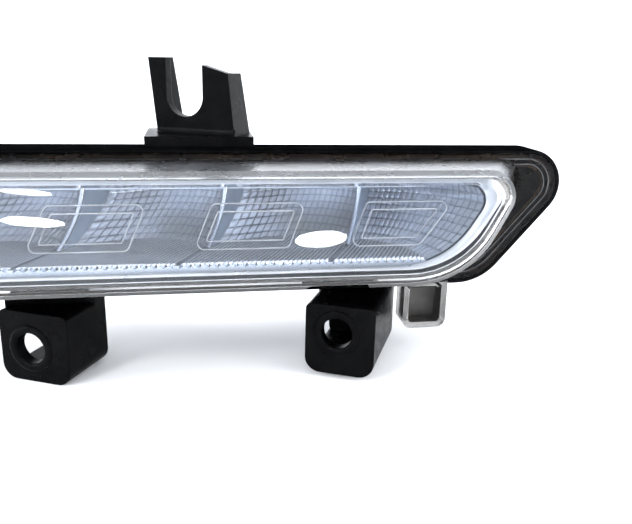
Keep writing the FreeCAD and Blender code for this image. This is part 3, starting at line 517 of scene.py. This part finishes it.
def rounded_outline(corners, inset=0.0, steps=OUTLINE_STEPS):
    """Points round a lamp outline whose corners are (u, z, radius), moved inward."""
    count = len(corners)
    flat = [Vector((u, z)) for u, z, radius in corners]
    moved = []
    for i, corner in enumerate(flat):
        before = (corner - flat[i - 1]).normalized()
        after = (flat[(i + 1) % count] - corner).normalized()
        normal_before = Vector((-before.y, before.x))
        normal_after = Vector((-after.y, after.x))
        half = (normal_before + normal_after).normalized()
        moved.append(corner + half * (inset / half.dot(normal_before)))
    points = []
    for i, corner in enumerate(moved):
        to_before = (moved[i - 1] - corner).normalized()
        to_after = (moved[(i + 1) % count] - corner).normalized()
        half_angle = to_before.angle(to_after) / 2
        radius = max(corners[i][2] - inset, LEAST_RADIUS)
        centre = corner + (to_before + to_after).normalized() * (radius / math.sin(half_angle))
        start = corner + to_before * (radius / math.tan(half_angle)) - centre
        end = corner + to_after * (radius / math.tan(half_angle)) - centre
        turn = start.angle_signed(end)
        for step in range(steps + 1):
            angle = -turn * step / steps
            points.append(centre + Vector((start.x * math.cos(angle) - start.y * math.sin(angle),
                                           start.x * math.sin(angle) + start.y * math.cos(angle))))
    return points


def inside(outline, u, z):
    """Whether a point lies inside a closed outline."""
    within = False
    for (u0, z0), (u1, z1) in zip(outline, outline[1:] + outline[:1]):
        if (z0 > z) != (z1 > z) and u < u0 + (z - z0) * (u1 - u0) / (z1 - z0):
            within = not within
    return within


def cell_point(index, x, y, z):
    """Point of a reflector cell as a point of the scene."""
    corner = lamp_point(FIRST_DIVIDER + index * CELL_PITCH, DIVIDER_V, 0.0)
    return corner + Vector((x, y, z)) * MM


def cell_u(index, x, y):
    """Distance along the lamp of a point of a cell."""
    return FIRST_DIVIDER + index * CELL_PITCH + x * COS + y * SIN


def cell_depth(x, v):
    """Depth along the car, from the divider, of a plane parallel to the lens."""
    return (v - DIVIDER_V + x * SIN) / COS


def bowl_depth(x, z):
    """Depth of the bowl behind the divider's edge."""
    side = 1 - ((BOWL_SIDE_VERTEX - x) / BOWL_SIDE_VERTEX) ** 2
    return BOWL_SETBACK + BOWL_SIDE_DEPTH * side - (PARABOLA_TOP - z) ** 2 / BOWL_CURVE


def add_piece(name, points, faces, finish, smooth=True):
    """Mesh piece that belongs to the part."""
    mesh = bpy.data.meshes.new(name)
    mesh.from_pydata([tuple(point) for point in points], [], faces)
    mesh.update()
    for face in mesh.polygons:
        face.use_smooth = smooth
    mesh.materials.append(finish)
    piece = bpy.data.objects.new(name, mesh)
    bpy.context.scene.collection.objects.link(piece)
    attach(piece, "root")
    return piece


def set_joints_and_shade(piece, joints_and_shade):
    """Stores how dark each point of a faceted piece is, from its joints and from painted shade."""
    attribute = piece.data.attributes.new("joint_and_shade", "FLOAT", "POINT")
    attribute.data.foreach_set("value", joints_and_shade)


def strip_faces(count):
    """Faces of a strip whose points come in pairs."""
    return [(2 * i, 2 * i + 1, 2 * i + 3, 2 * i + 2) for i in range(count - 1)]


def outline_end(outline, z):
    """Largest distance along the lamp of an outline at a height."""
    ends = []
    for (u0, z0), (u1, z1) in zip(outline, outline[1:] + outline[:1]):
        if (z0 > z) != (z1 > z):
            ends.append(u0 + (z - z0) * (u1 - u0) / (z1 - z0))
    return max(ends)


def cell_surface(index, share, z, outline):
    """Point across a bowl at a height; the last bowl closes in to the outer end of the opening."""
    left = DIVIDER_WALL / 2
    if index < CELLS - 1:
        x = left + (CELL_WIDTH - DIVIDER_WALL) * share
        return x, bowl_depth(x, z)
    along = outline_end(outline, z) - END_CLEARANCE - FIRST_DIVIDER - index * CELL_PITCH
    back = RIM_TOP_V + (z - OPENING_TOP) * RIM_SLOPE + END_BEHIND_RIM - DIVIDER_V
    end_x = along * COS - back * SIN
    end_y = along * SIN + back * COS
    start_y = bowl_depth(left, z) - FACET_LIFT
    hollow = END_HOLLOW * share * (1 - share)
    return left + (end_x - left) * share, start_y + (end_y - start_y) * share + hollow


def add_bowl(index, outline):
    """Pillow facets of one bowl, each a small dome of its own."""
    low, end_top = SHELF_Z, CEILING_Z
    if index == CELLS - 1:
        low, end_top = SHELF_Z + END_FOOT, END_TOP

    def height(share, row):
        top = CEILING_Z + (end_top - CEILING_Z) * share
        return low + (top - low) * row / FACET_ROWS

    points = []
    faces = []
    joints_and_shade = []
    for column in range(FACET_COLUMNS):
        for row in range(FACET_ROWS):
            near, far = column / FACET_COLUMNS, (column + 1) / FACET_COLUMNS
            shade_band = math.exp(-(((near + far) / 2 - SHADE_BAND_AT) / SHADE_BAND_WIDTH) ** 2)
            bulge = FACET_BULGE * (1 + SHADE_BAND_BULGE * shade_band)
            corners = []
            for share, level in ((near, row), (far, row), (near, row + 1), (far, row + 1)):
                z = height(share, level)
                corners.append(Vector((*cell_surface(index, share, z, outline), z)))
            first = len(points)
            for i in range(FACET_STEPS + 1):
                for j in range(FACET_STEPS + 1):
                    s, t = i / FACET_STEPS, j / FACET_STEPS
                    across, upward = abs(2 * s - 1), abs(2 * t - 1)
                    dome = bulge * (1 - DOME_SHARE * (across ** 2 + upward ** 2))
                    x, y, z = corners[0].lerp(corners[1], s).lerp(corners[2].lerp(corners[3], s), t)
                    points.append(cell_point(index, x, y - FACET_LIFT - dome, z))
                    # Dark joints round each facet, made darker in the band near the divider as painted shade
                    line = max(across, upward) ** JOINT_POWER * (JOINT_PLAIN + (1 - JOINT_PLAIN) * shade_band)
                    # Painted shade towards the upper and lower edges of the facets in that band
                    joints_and_shade.append(max(line, upward ** SHADE_BAND_POWER * shade_band * SHADE_BAND_DEPTH))
            for i in range(FACET_STEPS):
                for j in range(FACET_STEPS):
                    a = first + i * (FACET_STEPS + 1) + j
                    faces.append((a, a + FACET_STEPS + 1, a + FACET_STEPS + 2, a + 1))
    piece = add_piece(f"bowl_facets_{index + 1}", points, faces, FACETED)
    set_joints_and_shade(piece, joints_and_shade)


def add_flutes(index, outline):
    """Fine half-round ribs over one cell's shelf, two to each flute of the solid."""
    left = DIVIDER_WALL / 2
    wide = (CELL_WIDTH - DIVIDER_WALL) / RIBS
    points = []
    faces = []
    joints_and_shade = []
    caps = []
    for column in range(RIBS):
        x0 = left + column * wide
        middle = x0 + wide / 2
        front = cell_depth(middle, OPENING_FRONT_V)
        back = bowl_depth(middle, SHELF_Z) - RIB_BACK_GAP
        rows = []
        for step in range(RIB_LENGTH_STEPS + 1):
            y = front + (back - front) * step / RIB_LENGTH_STEPS
            if not inside(outline, cell_u(index, x0 + wide, y), SHELF_Z + RIB_END_RISE):
                break
            row = []
            for side in range(RIB_STEPS + 1):
                angle = math.pi * side / RIB_STEPS
                row.append(len(points))
                # Painted shade down the sides of each rib, where it meets the next one
                joints_and_shade.append(RIB_SHADE * abs(math.cos(angle)) ** 2)
                points.append(cell_point(index, middle - wide / 2 * math.cos(angle), y,
                                         SHELF_Z + RIB_BASE + RIB_RISE * math.sin(angle)))
            rows.append(row)
        for near, far in zip(rows, rows[1:]):
            for side in range(RIB_STEPS):
                faces.append((near[side], near[side + 1], far[side + 1], far[side]))
        if rows:
            foot = len(points)
            for x in (x0, x0 + wide):
                points.append(cell_point(index, x, front, SHELF_Z))
                joints_and_shade.append(0.0)
            caps.append(len(faces))
            faces.append((foot, foot + 1, *reversed(rows[0])))
    piece = add_piece(f"shelf_flutes_{index + 1}", points, faces, FACETED)
    set_joints_and_shade(piece, joints_and_shade)
    piece.data.materials.append(SILVER)
    for cap in caps:
        piece.data.polygons[cap].material_index = 1
        piece.data.polygons[cap].use_smooth = False


def add_divider_bead(index):
    """Rounded bright front edge of a divider, along its curved line."""
    points = []
    faces = []
    outboard = Vector((1.0, 0.0, 0.0))
    top_drop = PARABOLA_TOP - CEILING_Z - BEAD_TOP_OVERRUN
    foot_drop = PARABOLA_TOP - SHELF_Z - BEAD_FOOT_GAP
    for step in range(BEAD_STEPS + 1):
        drop = top_drop + (foot_drop - top_drop) * step / BEAD_STEPS
        y = -drop ** 2 / DIVIDER_CURVE
        slope = 2 * drop / DIVIDER_CURVE
        ahead = outboard.cross(Vector((0.0, -slope, -1.0)).normalized())
        centre = cell_point(index, 0.0, y, PARABOLA_TOP - drop)
        for side in range(BEAD_SIDES):
            angle = 2 * math.pi * side / BEAD_SIDES
            offset = outboard * math.cos(angle) + ahead * math.sin(angle)
            points.append(centre + offset * BEAD_RADIUS * MM)
    for step in range(BEAD_STEPS):
        for side in range(BEAD_SIDES):
            a = step * BEAD_SIDES + side
            b = step * BEAD_SIDES + (side + 1) % BEAD_SIDES
            faces.append((a, b, b + BEAD_SIDES, a + BEAD_SIDES))
    add_piece(f"divider_edge_{index + 1}", points, faces, BRIGHT)


def add_rim():
    """Rounded frosted band between the opening and the lens."""
    inner = rounded_outline(OPENING, -RIM_OVERLAP)
    outer = rounded_outline(RIM_OUTLINE, RIM_INSET)
    count = len(inner)
    points = []
    faces = []
    for near, far in zip(inner, outer):
        for step in range(RIM_STEPS + 1):
            share = step / RIM_STEPS
            u, z = near + (far - near) * share
            v = RIM_TOP_V + (z - OPENING_TOP) * RIM_SLOPE
            flat = max(0.0, min(1.0, (z - RIM_FLAT_FROM) / RIM_FLAT_OVER)) * RIM_FLATNESS
            crown = RIM_BULGE * (1 - flat) * math.sin(math.pi * share) ** RIM_ROUNDNESS
            points.append(lamp_point(u, v - RIM_LIFT - crown, z))
    for i in range(count):
        for step in range(RIM_STEPS):
            a = i * (RIM_STEPS + 1) + step
            b = (i + 1) % count * (RIM_STEPS + 1) + step
            faces.append((a, a + 1, b + 1, b))
    band = add_piece("rim_band", points, faces, FROST)
    # Shaded copy of the rim's finish: painted shade on the upper faces of the band
    band.data.materials.append(SHADE)
    top = LAMP_PLACE.z + RIM_FLAT_FROM * MM
    for face in band.data.polygons:
        if face.center.z > top and face.normal.z > RIM_SHADE_NORMAL and face.center.x < RIM_SHADE_END * MM:
            face.material_index = 1


def add_tube(name, path, radius, finish, closed=True):
    """Thin round line along a path of scene points."""
    points = []
    faces = []
    count = len(path)
    for i, place in enumerate(path):
        ahead = path[(i + 1) % count] if closed or i + 1 < count else place
        behind = path[i - 1] if closed or i > 0 else place
        along = (ahead - behind).normalized()
        side = along.cross(TUBE_ASIDE).normalized()
        rise = side.cross(along)
        for turn in range(TUBE_SIDES):
            angle = 2 * math.pi * turn / TUBE_SIDES
            points.append(place + (side * math.cos(angle) + rise * math.sin(angle)) * radius * MM)
    for i in range(count if closed else count - 1):
        for turn in range(TUBE_SIDES):
            a = i * TUBE_SIDES + turn
            b = i * TUBE_SIDES + (turn + 1) % TUBE_SIDES
            c = (i + 1) % count * TUBE_SIDES + (turn + 1) % TUBE_SIDES
            d = (i + 1) % count * TUBE_SIDES + turn
            faces.append((a, b, c, d))
    add_piece(name, points, faces, finish)


def front_point(u, height, back):
    """Point behind the raked front of the lens: along it, up it and back from it."""
    v = FRONT_TOP_V + height * math.sin(FRONT_RAKE) + back * math.cos(FRONT_RAKE)
    return lamp_point(u, v, FRONT_TOP + height * math.cos(FRONT_RAKE) - back * math.sin(FRONT_RAKE))


def add_pad_lines():
    """Painted highlights along the edges of the raised outlines on the inner face of the lens."""
    back = LENS_WALL + PAD_RISE + LINE_SETBACK
    for index in range(CELLS):
        u = FIRST_PAD + index * CELL_PITCH
        end_slant = END_PAD_SLANT if index == CELLS - 1 else PAD_SLANT
        high = -PAD_TOP_GAP
        low = high - PAD_HEIGHT
        corners = [(u - PAD_SLANT, low, PAD_ROUND), (u + PAD_LENGTH - end_slant, low, PAD_ROUND),
                   (u + PAD_LENGTH, high, PAD_ROUND), (u, high, PAD_ROUND)]
        for name, inset in (("outer", PAD_EDGE), ("inner", PAD_BORDER)):
            path = [front_point(a, h, back) for a, h in rounded_outline(corners, inset, PAD_CORNER_STEPS)]
            add_tube(f"pad_line_{name}_{index + 1}", path, LINE_RADIUS, PAD_LINE)


def add_tab_linings():
    """Smoky linings of the tab's hollow: its back and its walls."""
    low, high = TAB_START + TAB_SHEET, TAB_END - TAB_SHEET
    foot, back = TAB_SHEET - TAB_DROP, TAB_DEPTH - TAB_SHEET
    cut = TAB_ROUND * TAB_ROUND_SHARE
    panel = [(low, TAB_TOP), (low, foot + TAB_ROUND), (low + cut, foot + cut), (low + TAB_ROUND, foot),
             (high - TAB_ROUND, foot), (high - cut, foot + cut), (high, foot + TAB_ROUND), (high, TAB_TOP)]
    points = [lamp_point(u, back, z) for u, z in panel]
    add_piece("tab_panel", points, [tuple(range(len(panel)))], SMOKE, False)
    points = []
    for u, z in panel:
        points.append(lamp_point(u, TAB_FRONT_V, z))
        points.append(lamp_point(u, back, z))
    add_piece("tab_walls", points, strip_faces(len(panel)), SMOKE_EDGE, False)


def add_top_lines():
    """Painted reflections: fine light lines along the inside of the lens's top wall."""
    for number, (v, height, radius) in enumerate(TOP_LINES):
        path = [lamp_point(u, v, height) for u in TOP_LINE_STOPS]
        add_tube(f"top_line_{number + 1}", path, radius, REFLECTION_LINE, False)


def add_foot_lines():
    """Painted highlights: light lines along the edges of the lens's foot, seen through the flange."""
    for name, inset in (("outer", FOOT_LINE_OUTER), ("inner", FOOT_LINE_INNER)):
        path = [lamp_point(u, FOOT_LINE_V, z) for u, z in rounded_outline(FLANGE_OUTLINE, inset)]
        add_tube(f"foot_line_{name}", path, FOOT_LINE_RADIUS, REFLECTION_LINE)


def add_divider_side(index):
    """Smooth satin flank of a divider, from its curved edge to the bowl."""
    points = []
    x = DIVIDER_WALL / 2 + FLANK_LIFT
    low, high = SHELF_Z + FLANK_FOOT, CEILING_Z - FLANK_TOP_GAP
    for step in range(BEAD_STEPS + 1):
        z = low + (high - low) * step / BEAD_STEPS
        front = FLANK_EDGE_GAP - (PARABOLA_TOP - z) ** 2 / DIVIDER_CURVE
        points.append(cell_point(index, x, front, z))
        points.append(cell_point(index, x, bowl_depth(x, z) - FLANK_EDGE_GAP, z))
    add_piece(f"divider_flank_{index + 1}", points, strip_faces(BEAD_STEPS + 1), SATIN, False)


def add_bracket_rings():
    """Raised ring round each screw hole of the brackets."""
    count = len(RING_PROFILE)
    for number, hole in enumerate(HOLES):
        points = []
        faces = []
        for step in range(RING_STEPS):
            angle = 2 * math.pi * step / RING_STEPS
            for radius, rise in RING_PROFILE:
                offset = Vector((radius * math.cos(angle), -rise, radius * math.sin(angle)))
                points.append((hole + offset) * MM)
            here = step * count
            following = (step + 1) % RING_STEPS * count
            for i in range(count - 1):
                faces.append((here + i, here + i + 1, following + i + 1, following + i))
        add_piece(f"hole_ring_{number + 1}", points, faces, BLACK)


def add_details():
    """Fine forms of the reflector, the lens, the tab and the brackets."""
    outline = [tuple(point) for point in rounded_outline(OPENING, OPENING_MARGIN)]
    for index in range(CELLS):
        add_bowl(index, outline)
        add_flutes(index, outline)
        add_divider_bead(index)
        add_divider_side(index)
    add_rim()
    add_pad_lines()
    add_top_lines()
    add_tab_linings()
    add_foot_lines()
    add_bracket_rings()


def add_area(name, place, target, size, power, colour=WHITE, shape="RECTANGLE"):
    """Soft light panel aimed at a point."""
    data = bpy.data.lights.new(name, "AREA")
    data.shape = shape
    data.size, data.size_y = size
    data.energy = power
    data.color = colour
    lamp = bpy.data.objects.new(name, data)
    lamp.location = place
    lamp.rotation_euler = (target - place).to_track_quat("-Z", "Y").to_euler()
    bpy.context.scene.collection.objects.link(lamp)


def add_floor():
    """Plain pale floor that sweeps up into a backdrop."""
    profile = [(FLOOR_FRONT, 0.0), (SWEEP_START, 0.0)]
    for step in range(1, SWEEP_STEPS + 1):
        angle = math.pi / 2 * step / SWEEP_STEPS
        profile.append((SWEEP_START + SWEEP_RADIUS * math.sin(angle), SWEEP_RADIUS - SWEEP_RADIUS * math.cos(angle)))
    profile.append((SWEEP_START + SWEEP_RADIUS, BACKDROP_TOP))
    points = []
    for y, z in profile:
        points.append((-FLOOR_HALF_WIDTH, y, z))
        points.append((FLOOR_HALF_WIDTH, y, z))
    mesh = bpy.data.meshes.new("floor")
    mesh.from_pydata(points, [], strip_faces(len(profile)))
    for face in mesh.polygons:
        face.use_smooth = True
    mesh.materials.append(plastic("pale_floor", (0.90, 0.90, 0.90), (0.94, 0.94, 0.94), (0.8, 0.95), FLOOR_SCALE))
    floor = bpy.data.objects.new("floor", mesh)
    floor.location = (0, 0, cad_low.z)
    bpy.context.scene.collection.objects.link(floor)


def add_lights():
    """Soft panels round the part, small lamps that the lens mirrors, and light on the backdrop."""
    centre = (cad_low + cad_high) / 2
    for name, offset, size, power, colour in PANELS:
        add_area(name, centre + Vector(offset), centre, size, power, colour)
    for number, (place, target, size, power) in enumerate(SMALL_LAMPS):
        add_area(f"small_lamp_{number + 1}", Vector(place), Vector(target), size, power, shape="ELLIPSE")
    add_area("backdrop_glow", centre + GLOW_PLACE, centre + GLOW_TARGET, GLOW_SIZE, GLOW_POWER)


def set_world():
    """Pale room whose tone and strength change from front to back and to the outboard side."""
    world = bpy.data.worlds.new("studio")
    world.use_nodes = True
    bpy.context.scene.world = world
    bpy.context.scene.view_settings.view_transform = "Standard"
    tree = world.node_tree
    background = tree.nodes["Background"]
    coords = tree.nodes.new("ShaderNodeTexCoord")
    parts = tree.nodes.new("ShaderNodeSeparateXYZ")
    tree.links.new(coords.outputs["Generated"], parts.inputs["Vector"])
    depth = map_range(tree, parts.outputs["Y"], *ROOM_TONE_RANGE)
    tone = ramp(tree, depth, ROOM_FRONT, WHITE, 0.0, 1.0)
    side = map_range(tree, parts.outputs["X"], *ROOM_SIDE_RANGE, *ROOM_SIDE)
    front = map_range(tree, parts.outputs["Y"], *ROOM_DEPTH_RANGE, *ROOM_DEPTH)
    shade = tree.nodes.new("ShaderNodeVectorMath")
    shade.operation = "SCALE"
    tree.links.new(tone, shade.inputs["Vector"])
    tree.links.new(calculate(tree, "MULTIPLY", side, front), shade.inputs["Scale"])
    tree.links.new(shade.outputs["Vector"], background.inputs["Color"])
    background.inputs["Strength"].default_value = ROOM_STRENGTH


def set_camera():
    """Camera at the photograph's place, with its tilt and roll."""
    forward = Vector((-math.sin(CAMERA_AZIMUTH) * math.cos(CAMERA_ELEVATION),
                      math.cos(CAMERA_AZIMUTH) * math.cos(CAMERA_ELEVATION), -math.sin(CAMERA_ELEVATION)))
    level = Vector((math.cos(CAMERA_AZIMUTH), math.sin(CAMERA_AZIMUTH), 0.0))
    upright = level.cross(forward)
    right = level * math.cos(CAMERA_ROLL) + upright * math.sin(CAMERA_ROLL)
    up = upright * math.cos(CAMERA_ROLL) - level * math.sin(CAMERA_ROLL)
    data = bpy.data.cameras.new("camera")
    data.sensor_fit = "HORIZONTAL"
    data.sensor_width = SENSOR_MM
    data.lens = CAMERA_LENS_MM
    data.clip_start = CAMERA_NEAR
    camera = bpy.data.objects.new("camera", data)
    turn = Matrix((right, up, -forward)).transposed()
    camera.matrix_world = Matrix.Translation(CAMERA_PLACE) @ turn.to_4x4()
    bpy.context.scene.collection.objects.link(camera)
    bpy.context.scene.camera = camera


dress_nodes()
add_details()
add_floor()
add_lights()
set_world()
set_camera()
